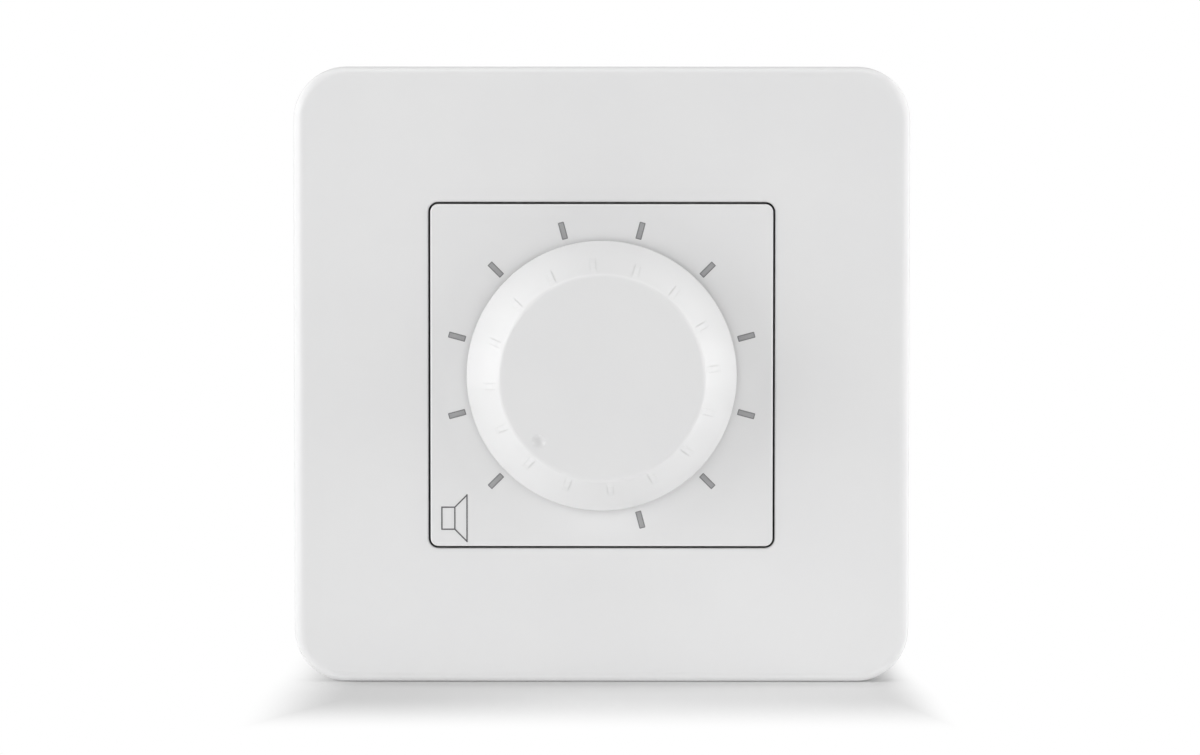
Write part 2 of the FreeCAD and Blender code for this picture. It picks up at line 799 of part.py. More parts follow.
def switch_base():
    """Moulded cup with floor, spring posts, hooks over the cover and feet on the board."""
    cup = disc(switch_radius, (cover_back, switch_back))
    cup = cup.cut(disc(switch_inner_radius, (cover_back, floor_front)))
    hook_inner = switch_radius + hole_play
    hook_outer = hook_inner + switch_hook_thickness
    nose_back = cover_front + cover_step_depth - fixed_clearance
    nose_front = cover_front + fixed_clearance
    solids = [cup]
    for angle in switch_hook_angles:
        foot = sector(hook_outer, switch_radius - switch_wall / 2, switch_hook_half_angle,
                      (cover_back + cover_thickness, floor_front))
        arm = sector(hook_outer, hook_inner, switch_hook_half_angle, (nose_front, floor_front))
        nose = sector(hook_outer, cover_step_radius + hole_play, switch_hook_half_angle,
                      (nose_front, nose_back))
        solids += [on_dial(joined([foot, arm, nose]), angle)]
    for angle in switch_foot_angles:
        x, z = dial_spot(switch_foot_distance, angle)
        solids.append(disc(switch_foot_radius, (switch_back - switch_floor / 2, board_front), x, z))
    post_top = leaf_near - fixed_clearance
    post_outer = leaf_half_length - leaf_overlap
    post = box((post_outer - leaf_post_width, post_outer), (star_front, floor_front + switch_floor / 2),
               (post_top - leaf_post_depth, post_top))
    solids += mirrored(post)
    body = joined(solids)
    body = body.cut(disc(shaft_pivot_radius + running_clearance, (floor_front, pivot_end)))
    for angle in contact_angles:
        body = body.cut(on_dial(contact_pin(contact_pin_distance, fixed_clearance), angle))
    return body.cut(on_dial(contact_pin(common_pin_distance, fixed_clearance), common_pin_angle))


def contact_pin(distance, grown=0.0):
    """Flat pin from the contact through floor and board, at the top of the dial."""
    return block(contact_pin_width + 2 * grown, (contact_front, back_pin_end),
                 contact_pin_thickness + 2 * grown, 0.0, distance)


def switch_contacts():
    """Fixed contacts, one at each of the switch's places."""
    pad = box((-contact_width / 2, contact_width / 2), (contact_front, floor_front),
              (contact_inner, contact_outer))
    contact = joined([pad, contact_pin(contact_pin_distance)])
    return [on_dial(contact, angle) for angle in contact_angles]


def common_contact():
    """Ring that the wiper's inner end always touches, with its pin."""
    pad = ring(common_outer, common_inner, (contact_front, floor_front))
    return joined([pad, on_dial(contact_pin(common_pin_distance), common_pin_angle)])


def switch_rotor():
    """Star wheel with stop lug, square bore and the stake that holds the wiper."""
    outline = []
    half = math.degrees(math.asin(notch_half_width / star_radius))
    for i in range(star_notches):
        angle = i * 360.0 / star_notches
        outline.append(dial_spot(star_radius, angle - half))
        outline.append(dial_spot(star_radius - notch_depth, angle))
        outline.append(dial_spot(star_radius, angle + half))
        outline.append(dial_spot(star_radius, angle + 180.0 / star_notches))
    star = prism(outline, (star_front, star_back))
    lug_half = (360.0 - travel) / 2 - stop_tab_half_angle - stop_play_angle
    lug = sector(lug_outer, lug_inner, lug_half, (lug_front, star_front))
    seat = (wiper_seat_inner + wiper_seat_outer) / 2
    x, z = dial_spot(seat, first_position)
    stake = disc(stake_radius, (star_back - star_thickness / 2, star_back + stake_height), x, z)
    body = joined([star, on_dial(lug, first_position), stake])
    bore_width = shaft_square + 2 * fixed_clearance
    return body.cut(on_dial(block(bore_width, (lug_front, star_back), bore_width), first_position))


def detent_spring():
    """Leaf spring across the top of the star wheel, its bump resting in a notch."""
    tip = star_radius - notch_depth + leaf_bump_gap
    bump = leaf_bump_half_width
    right = [(leaf_bump_tip, tip), (bump, leaf_near), (leaf_half_length, leaf_near),
             (leaf_half_length, leaf_far), (bump - leaf_thickness / 2, leaf_far),
             (leaf_bump_tip / 3, tip + leaf_thickness)]
    left = [(-x, z) for x, z in reversed(right)]
    return prism(right + left, (star_front + leaf_margin, star_back - leaf_margin))


def switch_wiper():
    """Bronze bridge: its middle lies on the rotor, its ends bear on the ring and one contact."""
    near = contact_front - contact_air - wiper_thickness
    far = contact_front - contact_air
    seat = (star_back, star_back + wiper_thickness)
    outer = contact_inner + wiper_reach
    inner = common_pin_distance
    bend = wiper_thickness / 2
    outline = [
        (wiper_seat_inner, seat[0]), (wiper_seat_outer, seat[0]), (outer, near),
        (outer + wiper_tip_length, near), (outer + wiper_tip_length, far), (outer - wiper_tip_length, far),
        (wiper_seat_outer - bend, seat[1]), (wiper_seat_inner + bend, seat[1]),
        (inner + wiper_tip_length, far), (inner - wiper_tip_length, far),
        (inner - wiper_tip_length, near), (inner, near),
    ]
    hole = disc(stake_radius + fixed_clearance, seat, 0.0, (wiper_seat_inner + wiper_seat_outer) / 2)
    return on_dial(radial_prism(outline, wiper_width).cut(hole), first_position)


def bobbin_pin_places():
    """x and z of every bobbin pin."""
    row = [(i - (bobbin_pins_per_rail - 1) / 2) * bobbin_pin_pitch for i in range(bobbin_pins_per_rail)]
    return [(x, core_z + side * bobbin_pin_row) for side in (-1, 1) for x in row]


def circuit_board():
    """Board with chamfered corners and a hole for every pin, screw and clamp tab."""
    half = board_width / 2
    cut = half - board_chamfer
    outline = [(-cut, half), (cut, half), (half, cut), (half, -cut), (cut, -half), (-cut, -half),
               (-half, -cut), (-half, cut)]
    depth = (board_front, board_back)
    board = prism(outline, depth)
    pin_corner = math.hypot(contact_pin_width, contact_pin_thickness) / 2 + hole_play
    holes = [disc(pin_corner, depth, *dial_spot(contact_pin_distance, angle)) for angle in contact_angles]
    holes.append(disc(pin_corner, depth, *dial_spot(common_pin_distance, common_pin_angle)))
    holes += [disc(bobbin_pin_radius + hole_play, depth, x, z) for x, z in bobbin_pin_places()]
    holes += [disc(bar_pin_thickness / math.sqrt(2) + hole_play, depth, x, bar_pin_z) for x in pole_places]
    holes += [disc(screw_radius + hole_play, depth, x, z) for x, z in post_places]
    tab_side = core_width / 2 + clamp_play
    for z in clamp_tab_places():
        slot = box((tab_side - hole_play, tab_side + clamp_sheet + hole_play), depth,
                   (z - clamp_tab_width / 2 - hole_play, z + clamp_tab_width / 2 + hole_play))
        holes += mirrored(slot)
    return board.cut(Part.makeCompound(holes))


def board_screws():
    """Self-tapping screws with a cross recess, through the board into the posts."""
    screws = []
    head_back = board_back + screw_head_height
    for x, z in post_places:
        shank = disc(screw_radius, (board_back - screw_length, board_back), x, z)
        head = disc(screw_head_radius, (board_back, head_back), x, z)
        rim = [e for e in head.Edges if e.BoundBox.YMin > head_back - 0.001]
        head = head.makeFillet(screw_head_height / 2, rim)
        screw = joined([shank, head])
        depth = (head_back - cross_depth, head_back)
        screw = screw.cut(block(cross_width, depth, cross_length, x, z))
        screws.append(screw.cut(block(cross_length, depth, cross_width, x, z)))
    return screws


def solder_cone(face, outwards, x, z):
    """Solder round a pin, on the board's face on the side that outwards points to."""
    return Part.makeCone(solder_radius, solder_tip_radius, solder_height, V(x, face, z), V(0, outwards, 0))


def solder_joints():
    """Switch pins are soldered on the back of the board, bobbin and terminal pins on the front."""
    joints = []
    for angle in contact_angles:
        cone = solder_cone(board_back, 1, *dial_spot(contact_pin_distance, angle))
        joints.append(cone.cut(on_dial(contact_pin(contact_pin_distance), angle)))
    cone = solder_cone(board_back, 1, *dial_spot(common_pin_distance, common_pin_angle))
    joints.append(cone.cut(on_dial(contact_pin(common_pin_distance), common_pin_angle)))
    for x, z in bobbin_pin_places():
        joints.append(solder_cone(board_front, -1, x, z).cut(bobbin_pin(x, z)))
    for x in pole_places:
        joints.append(solder_cone(board_front, -1, x, bar_pin_z).cut(bar_pin(x)))
    return joints


def sheet_depths():
    """Depth of every lamination sheet."""
    first = core_y - stack_half
    return [(first + i * sheet_pitch, first + (i + 1) * sheet_pitch - sheet_air) for i in range(sheet_count)]


def e_laminations():
    """E-shaped sheets, turned over one by one so that their joints alternate."""
    outer = core_width / 2
    top = core_height / 2
    window = window_half_height
    sheets = []
    for i, depth in enumerate(sheet_depths()):
        side = 1 if i % 2 == 0 else -1
        outline = [(-outer, top), (outer, top), (outer, -window), (window_outer, -window),
                   (window_outer, window), (core_leg, window), (core_leg, -window), (-core_leg, -window),
                   (-core_leg, window), (-window_outer, window), (-window_outer, -window), (-outer, -window)]
        sheets.append(prism([(x, core_z + side * z) for x, z in outline], depth))
    return sheets


def i_laminations():
    """Straight sheets that close the open side of each E."""
    sheets = []
    for i, depth in enumerate(sheet_depths()):
        side = -1 if i % 2 == 0 else 1
        middle = core_z + side * (core_height / 2 - core_leg / 2 + sheet_air / 2)
        sheets.append(block(core_width, depth, core_leg - sheet_air, 0.0, middle))
    return sheets


def coil_bobbin():
    """Tube round the middle leg, two flanges and two pin rails that stand on the board."""
    high = bobbin_half_height
    stack = (core_y - tube_half_depth, core_y + tube_half_depth)
    solids = [block(2 * tube_half_width, stack, 2 * high, 0.0, core_z)]
    flange_depths = (core_y - flange_depth / 2, core_y + flange_depth / 2)
    rail_depths = (core_y - rail_front_offset, core_y - stack_half - rail_play)
    foot_depths = (board_back, core_y - rail_front_offset + rail_stand)
    for side in (-1, 1):
        flange = sorted((core_z + side * (high - bobbin_wall), core_z + side * high))
        rail = sorted((core_z + side * (high - bobbin_wall), core_z + side * rail_end))
        solids.append(box((-flange_width / 2, flange_width / 2), flange_depths, flange))
        solids.append(box((-rail_width / 2, rail_width / 2), rail_depths, rail))
        foot = box((rail_width / 2 - rail_foot_width, rail_width / 2), foot_depths, rail)
        solids += mirrored(foot)
    body = joined(solids)
    inner_depth = (core_y - stack_half - bobbin_stack_play, core_y + stack_half + bobbin_stack_play)
    inside = block(2 * (core_leg + bobbin_play), inner_depth, 2 * high, 0.0, core_z)
    body = body.cut(inside)
    for x, z in bobbin_pin_places():
        body = body.cut(bobbin_pin(x, z, fixed_clearance))
    return body


def bobbin_pin(x, z, grown=0.0):
    """Round pin from inside the rail through the board."""
    rail_front = core_y - rail_front_offset
    return disc(bobbin_pin_radius + grown, (front_pin_end, rail_front + bobbin_pin_grip), x, z)


def bobbin_pins():
    """Pins that the winding's taps end on."""
    return [bobbin_pin(x, z) for x, z in bobbin_pin_places()]


def wound_block(width, depth, height, radius):
    """Block round the middle leg with its four long edges rounded."""
    body = box((-width / 2, width / 2), (core_y - depth / 2, core_y + depth / 2),
               (core_z - height / 2, core_z + height / 2))
    upright = [e for e in body.Edges if abs(e.tangentAt(e.FirstParameter).z) > 0.9]
    return body.makeFillet(radius, upright)


def coil_winding():
    """Copper winding as one closed ring round the bobbin's tube."""
    height = 2 * winding_half_height
    body = wound_block(winding_width, winding_depth, height, winding_round)
    tube = box((-tube_half_width - fixed_clearance, tube_half_width + fixed_clearance),
               (core_y - tube_half_depth - fixed_clearance, core_y + tube_half_depth + fixed_clearance),
               (core_z - height / 2, core_z + height / 2))
    return body.cut(tube)


def coil_tape():
    """Insulating tape wrapped round the winding."""
    height = 2 * winding_half_height
    inner = wound_block(winding_width + 2 * tape_play, winding_depth + 2 * tape_play, height,
                        winding_round + tape_play)
    grown = tape_play + tape_thickness
    outer = wound_block(winding_width + 2 * grown, winding_depth + 2 * grown, height, winding_round + grown)
    return outer.cut(inner)


def clamp_tab_places():
    """z of the clamp's tabs."""
    return [core_z - clamp_tab_offset, core_z + clamp_tab_offset]


def core_clamp():
    """Channel of sheet steel over the core, open for the coil, with tabs clinched under the board."""
    inner_x = core_width / 2 + clamp_play
    outer_x = inner_x + clamp_sheet
    inner_y = core_y + stack_half + fixed_clearance
    outer_y = inner_y + clamp_sheet
    leg_y = board_back + clamp_leg_clearance
    z = (core_z - clamp_height / 2, core_z + clamp_height / 2)

    def channel_block(half_width, far, radius):
        body = box((-half_width, half_width), (leg_y, far), z)
        bends = [e for e in body.Edges if abs(e.tangentAt(e.FirstParameter).z) > 0.9
                 and e.BoundBox.YMin > far - 0.001]
        return body.makeFillet(radius, bends)

    body = channel_block(outer_x, outer_y, clamp_bend).cut(
        channel_block(inner_x, inner_y, clamp_bend - clamp_sheet))
    window_z = bobbin_half_height + clamp_window_play
    body = body.cut(box((-flange_width / 2 - clamp_window_play, flange_width / 2 + clamp_window_play),
                        (leg_y, outer_y), (core_z - window_z, core_z + window_z)))
    solids = [body]
    for tab_z in clamp_tab_places():
        width = (tab_z - clamp_tab_width / 2, tab_z + clamp_tab_width / 2)
        tab = box((inner_x, outer_x), (board_front - clamp_sheet, leg_y + clamp_sheet), width)
        foot = box((inner_x, outer_x + clamp_foot), (board_front - clamp_sheet, board_front), width)
        solids += mirrored(joined([tab, foot]))
    return joined(solids)


def terminal_block():
    """Housing with one chamber, one wire hole and one captive screw seat for each pole."""
    half = pole_count * pole_pitch / 2 + block_end_wall
    body = box((-half, half), (board_back, block_top), (block_low, block_high))
    for x in pole_places:
        chamber = box((x - chamber_width / 2, x + chamber_width / 2), (board_back + block_floor, chamber_top),
                      (chamber_low, chamber_high))
        wire_hole = Part.makeCylinder(wire_hole_radius, block_wire_wall, V(x, wire_y, block_low), V(0, 0, 1))
        seat = disc(clamp_screw_head_radius + clamp_head_play, (chamber_top, seat_top), x, cage_z)
        driver_hole = disc(driver_hole_radius, (seat_top, block_top), x, cage_z)
        pin_hole = bar_pin(x, fixed_clearance)
        body = body.cut(Part.makeCompound([chamber, wire_hole])).cut(seat).cut(driver_hole).cut(pin_hole)
    for x in [(a + b) / 2 for a, b in zip(pole_places, pole_places[1:])]:
        wire_side = box((x - block_groove / 2, x + block_groove / 2), (board_back + block_floor, block_top),
                        (block_low, block_low + block_groove))
        top_side = box((x - block_groove / 2, x + block_groove / 2), (block_top - block_groove, block_top),
                       (block_low, block_high))
        body = body.cut(joined([wire_side, top_side]))
    return body


def bar_pin(x, grown=0.0):
    """Square pin of a bus bar, from the bar through the board."""
    return block(bar_pin_thickness + 2 * grown, (front_pin_end, bar_far), bar_pin_thickness + 2 * grown,
                 x, bar_pin_z)


def terminal_bars():
    """Bus bars that the cages press the wires against, each with its pin."""
    bars = []
    for x in pole_places:
        bar = box((x - bar_width / 2, x + bar_width / 2), (bar_near, bar_far), (bar_low, bar_high))
        bars.append(joined([bar, bar_pin(x)]))
    return bars


def clamp_screw(x):
    """Captive screw: head in its seat, tip on the bus bar, slot towards the wall box."""
    thread = disc(clamp_screw_radius, (screw_tip, screw_head_near), x, cage_z)
    head = disc(clamp_screw_head_radius, (screw_head_near, screw_head_far), x, cage_z)
    slot = block(2 * clamp_screw_head_radius, (screw_head_far - driver_slot_depth, screw_head_far),
                 driver_slot_width, x, cage_z)
    return joined([thread, head]).cut(slot)


def clamp_cage(x):
    """Box clamp round the bus bar, with the screw's thread in its top wall, fully open."""
    z = (cage_low, cage_high)
    body = box((x - cage_width / 2, x + cage_width / 2), (cage_bottom, cage_top), z)
    inner = cage_width / 2 - cage_side_wall
    body = body.cut(box((x - inner, x + inner), (cage_floor, cage_roof), z))
    return body.cut(disc(clamp_screw_radius + fixed_clearance, (cage_roof, cage_top), x, cage_z))


def pieces():
    """Every named piece, as one solid or a list of identical solids."""
    named = {
        "cover_frame": cover_frame(),
        "support_frame": support_frame(),
        "module_front": module_front(),
        "dial_marks": dial_marks(),
        "speaker_symbol": speaker_symbol(),
        "knob": knob(),
        "knob_grip_ring": knob_grip_ring(),
        "switch_shaft": switch_shaft(),
        "shaft_clip": shaft_clip(),
        "switch_nut": switch_nut(),
        "lock_washer": lock_washer(),
        "stop_washer": stop_washer(),
        "switch_cover": switch_cover(),
        "switch_base": switch_base(),
        "switch_contacts": switch_contacts(),
        "common_contact": common_contact(),
        "switch_rotor": switch_rotor(),
        "detent_spring": detent_spring(),
        "switch_wiper": switch_wiper(),
        "circuit_board": circuit_board(),
        "board_screws": board_screws(),
        "solder_joints": solder_joints(),
        "e_laminations": e_laminations(),
        "i_laminations": i_laminations(),
        "coil_bobbin": coil_bobbin(),
        "bobbin_pins": bobbin_pins(),
        "coil_winding": coil_winding(),
        "coil_tape": coil_tape(),
        "core_clamp": core_clamp(),
        "terminal_block": terminal_block(),
        "terminal_bars": terminal_bars(),
    }
    for number, x in enumerate(pole_places, start=1):
        named[f"clamp_screw_{number}"] = clamp_screw(x)
        named[f"clamp_cage_{number}"] = clamp_cage(x)
    return named


os.makedirs("parts", exist_ok=True)
for name, shape in pieces().items():
    if isinstance(shape, list):
        shape = Part.makeCompound(shape)
    shape.exportStep(f"parts/{name}.step")
    print(name, len(shape.Solids), round(shape.Volume, 2), shape.isValid())
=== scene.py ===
"""The looks of a flush wall-mounted loudspeaker volume control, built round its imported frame.

Everything is in metres in the part's own frame. The origin is on the knob's axis, in the wall's
plane. +Z is up, +X is the user's right, -Y points at the user and +Y goes into the wall box.
"""
import json
import math

import bmesh
import bpy
import numpy as np
from mathutils import Matrix, Vector


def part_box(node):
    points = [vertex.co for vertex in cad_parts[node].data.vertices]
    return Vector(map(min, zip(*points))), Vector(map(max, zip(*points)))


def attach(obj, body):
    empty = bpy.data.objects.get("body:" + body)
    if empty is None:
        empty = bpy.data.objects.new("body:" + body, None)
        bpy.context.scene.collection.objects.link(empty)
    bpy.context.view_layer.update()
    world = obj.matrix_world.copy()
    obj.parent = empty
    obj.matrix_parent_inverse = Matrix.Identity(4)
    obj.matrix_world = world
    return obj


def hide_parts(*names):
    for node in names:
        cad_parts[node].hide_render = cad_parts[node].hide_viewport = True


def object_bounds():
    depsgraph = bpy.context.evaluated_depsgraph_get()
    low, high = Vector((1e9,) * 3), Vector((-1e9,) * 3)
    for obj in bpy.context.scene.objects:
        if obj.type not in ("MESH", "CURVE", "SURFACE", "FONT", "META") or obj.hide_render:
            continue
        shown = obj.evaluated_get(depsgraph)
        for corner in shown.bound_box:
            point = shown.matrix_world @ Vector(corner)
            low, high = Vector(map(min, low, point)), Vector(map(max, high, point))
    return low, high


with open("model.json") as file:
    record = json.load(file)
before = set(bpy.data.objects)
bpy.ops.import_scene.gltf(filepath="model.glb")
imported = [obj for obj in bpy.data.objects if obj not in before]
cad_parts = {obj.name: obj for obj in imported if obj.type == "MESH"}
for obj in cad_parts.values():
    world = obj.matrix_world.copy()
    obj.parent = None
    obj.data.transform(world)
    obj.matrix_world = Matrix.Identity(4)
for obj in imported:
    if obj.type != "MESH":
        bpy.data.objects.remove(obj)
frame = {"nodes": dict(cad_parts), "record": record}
cad_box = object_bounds()

MM = 0.001

# Camera, as the photograph was taken
image_width_px = 1200
pixels_per_mm = 7.6165
camera_distance = 560 * MM
camera_elevation = math.radians(2.6)
camera_roll = math.radians(0.028)
aim_right = -0.22 * MM
aim_up = -0.27 * MM
sensor_width_mm = 36.0
nearest_seen = 0.01
farthest_seen = 20

# Even light of the studio, and how far the floor reaches to each side
ambient_level = 0.2
floor_reach = 0.6

# Floor paper: its shade, a painted shadow close in front of the plate, and the painted shade in its tone from
# the left to the middle
paper_shade = 0.71
painted_contact_shadow = 0.64
painted_contact_reach = 8 * MM
painted_shade_lean = (0.91, 1.05)
painted_shade_lean_over = (-28 * MM, 0.0)

# Where the floor's shade starts and ends to fade to pure white, along X and Y
fade_left = (-32 * MM, -44.5 * MM)
fade_right = (36.5 * MM, 43.5 * MM)
fade_in_front = (-25 * MM, -58 * MM)
fade_behind = (34 * MM, 80 * MM)

# Beside the plate both side fades lie further in by this shift. It grows over this stretch of Y, counted
# from the plate's front
corner_fade_shift = 1.5 * MM
corner_fade_over = (-18 * MM, 15 * MM)

# The middle of a noise's range, over which its patches go from one look to the other
noise_contrast = (0.3, 0.7)

# Samples of the shading that rounds the edges
edge_samples = 6

# Walls stand square to the face: the share of their normal along Y stays under this
wall_limit = 0.5

# Moulded white: the tone of its clouds, the spread of its roughness and the colour of the gap's painted shade
cloud_tone = (0.982, 0.982, 0.986)
roughness_spread = (0.98, 1.03)
painted_gap_shade_colour = (0.03, 0.03, 0.03)

# Painted light round the knob's foot, a pale ring: full up to the first radius, gone at the second
painted_light_ring = (18.4 * MM, 22.5 * MM)

# The frame's walls carry painted shade: the share of the normal along Y at which it is full and gone
painted_wall_turn = (0.28, 0.44)

# Painted shade on the walls of the gap round the insert: half the side of the square that the gap follows,
# how near to it a wall belongs to the gap, where the painted shade starts and is full behind the insert's
# face, and where it ends
gap_half = 22.55 * MM
gap_spread = 0.45 * MM
painted_gap_shade_from = (0.10 * MM, 0.30 * MM)
collar_back = -2.5 * MM

# Dial marks, printed on the insert's face. Their angles run clockwise from the top
mark_circle = 19.65 * MM
mark_length = 2.3 * MM
mark_width = 0.8 * MM
mark_corner = 0.10 * MM
mark_edge = 0.05 * MM
first_mark_degrees = 225
mark_step_degrees = 30
mark_count = 11
points_in_quarter = 5

# Their ink: the dark border and its soft edge as shares of it, and the streaks across and along a mark
mark_border = 0.13 * MM
mark_border_blur = (0.6, 1.4)
mark_streaks = (9.0, 1.2, 1.0)
mark_streak_contrast = (0.35, 0.65)

# Specks in the black moulding: they start and are full at these values of the noise
speck_contrast = (0.5, 0.75)

# Glass cloth under the board's lacquer
weave_pitch = 0.55 * MM

# Core sheets: their pitch, the middle of a sheet as a share of it, where the dark seam starts and is full,
# and the share of a sheet's tone that its grain has
sheet_pitch = 0.5 * MM
sheet_middle = 0.47
seam_from_middle = (0.36, 0.46)
grain_share = 0.5

# Tape round the winding, the turn at which its loose end stands, and the wires that show through it
tape_thickness = 0.22 * MM
tape_crown = 0.06 * MM
tape_lap = 0.07 * MM
tape_squareness = 9
tape_end = math.radians(68)
tape_points_round = 241
tape_points_up = 25
wire_pitch = 0.36 * MM

# Copper tracks under the board's lacquer, on its back. A route is x and z of its corners in millimetres, and
# is mirrored to the other side
track_width = 0.9 * MM
track_height = 0.05 * MM
track_edge = 0.08 * MM
track_routes = [
    [(7.62, -10.4), (7.62, -8.6), (12.2, -8.6), (14.6, -6.2), (14.6, 1.0)],
    [(12.0, -19.4), (15.0, -19.4), (19.4, -15.0), (19.4, 15.2), (16.2, 18.4), (12.5, 18.4), (12.5, 16.7)],
    [(11.4, -14.6), (13.4, -14.6), (14.6, -15.8)],
    [(17.8, -9.6), (17.8, 8.8), (15.9, 10.7), (15.9, 12.0)],
    [(2.54, -10.4), (2.54, -7.4), (4.6, -5.3), (7.5, -5.3), (7.5, -3.7)],
]

# Points of a mesh that lie closer than this are one
merge_distance = 1e-7


def photo_camera():
    """Camera in front of the insert's face and slightly above it, rolled by a hair."""
    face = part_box("module_front")[0].y
    aim = Vector((aim_right, face, aim_up))
    back = Vector((0, -math.cos(camera_elevation), math.sin(camera_elevation)))
    made = bpy.data.objects.new("photo_camera", bpy.data.cameras.new("photo_camera"))
    bpy.context.scene.collection.objects.link(made)
    made.data.sensor_width = sensor_width_mm
    made.data.lens = pixels_per_mm / MM * camera_distance / image_width_px * sensor_width_mm
    made.data.clip_start = nearest_seen
    made.data.clip_end = farthest_seen
    turned = (-back).to_track_quat("-Z", "Y").to_matrix() @ Matrix.Rotation(camera_roll, 3, "Z")
    made.matrix_world = Matrix.Translation(aim + back * camera_distance) @ turned.to_4x4()
    bpy.context.scene.camera = made


def softbox(name, turn, height, away, width, tall, power, in_gloss=True):
    """Lamp that faces the object, a turn in degrees to the right of straight ahead and a height in degrees
    above it. One that isn't in gloss lights the object without being mirrored in it."""
    across, up = math.radians(turn), math.radians(height)
    place = Vector((math.sin(across) * math.cos(up), -math.cos(across) * math.cos(up), math.sin(up))) * away
    lamp = bpy.data.lights.new(name, "AREA")
    lamp.shape = "RECTANGLE"
    lamp.size = width
    lamp.size_y = tall
    lamp.energy = power
    made = bpy.data.objects.new(name, lamp)
    bpy.context.scene.collection.objects.link(made)
    made.location = place
    made.rotation_euler = (-place).to_track_quat("-Z", "Y").to_euler()
    made.visible_camera = False
    made.visible_glossy = in_gloss
    return lamp


def studio_lamps():
    """Large softboxes at both sides, before and behind the plate, a panel above and one under the table."""
    beside = {"height": 5, "away": 0.65, "width": 0.45, "tall": 0.60}
    softbox("left_softbox", turn=-60, power=1.93, **beside)
    softbox("left_rim", turn=-95, power=2.42, in_gloss=False, **beside)
    softbox("right_softbox", turn=60, power=1.29, **beside)
    softbox("right_rim", turn=95, power=3.00, in_gloss=False, **beside)
    softbox("top_panel", turn=0, height=80, away=0.65, width=0.70, tall=0.50, power=1.81)
    softbox("front_panel", turn=0, height=15, away=0.90, width=1.20, tall=0.60, power=0.73)
    below = softbox("table_light", turn=0, height=-60, away=0.40, width=0.50, tall=0.30, power=0.34)
    # From above only shadow rays pass the floor, so they alone look for this lamp
    below.cycles.use_multiple_importance_sampling = False


class Wiring:
    """A node tree being wired up. What feeds a socket is a number, a colour or another node's output."""

    def __init__(self, tree):
        self.tree = tree

    def feed(self, socket, source):
        """Sets a socket, or links another node's output to it."""
        if isinstance(source, bpy.types.NodeSocket):
            self.tree.links.new(source, socket)
        elif socket.type == "RGBA":
            socket.default_value = (*source, 1)
        else:
            socket.default_value = source

    def node(self, kind, feeds=None, **settings):
        """A new node with its settings and with what feeds its sockets, by their names or numbers."""
        made = self.tree.nodes.new("ShaderNode" + kind)
        for key, value in settings.items():
            setattr(made, key, value)
        for socket, source in (feeds or {}).items():
            self.feed(made.inputs[socket], source)
        return made

    def maths(self, operation, *numbers):
        """One step of arithmetic."""
        return self.node("Math", dict(enumerate(numbers)), operation=operation).outputs[0]

    def ramp(self, source, start, end, low=0.0, high=1.0, curve="SMOOTHSTEP"):
        """From low to high as the source goes from start to end, eased at both."""
        feeds = {"Value": source, "From Min": start, "From Max": end, "To Min": low, "To Max": high}
        return self.node("MapRange", feeds, interpolation_type=curve).outputs["Result"]

    def straight(self, source, start, end, low=0.0, high=1.0):
        """The same without easing."""
        return self.ramp(source, start, end, low, high, curve="LINEAR")

    def parts(self, vector):
        """The X, Y and Z of a vector."""
        return self.node("SeparateXYZ", {0: vector}).outputs

    def mixed(self, share, first, second):
        """The first shader where the share is 0 and the second where it is 1."""
        return self.node("MixShader", {0: share, 1: first, 2: second}).outputs[0]

    def finish_with(self, shader, output):
        """Gives the tree's output node its surface."""
        self.feed(self.tree.nodes[output].inputs["Surface"], shader)


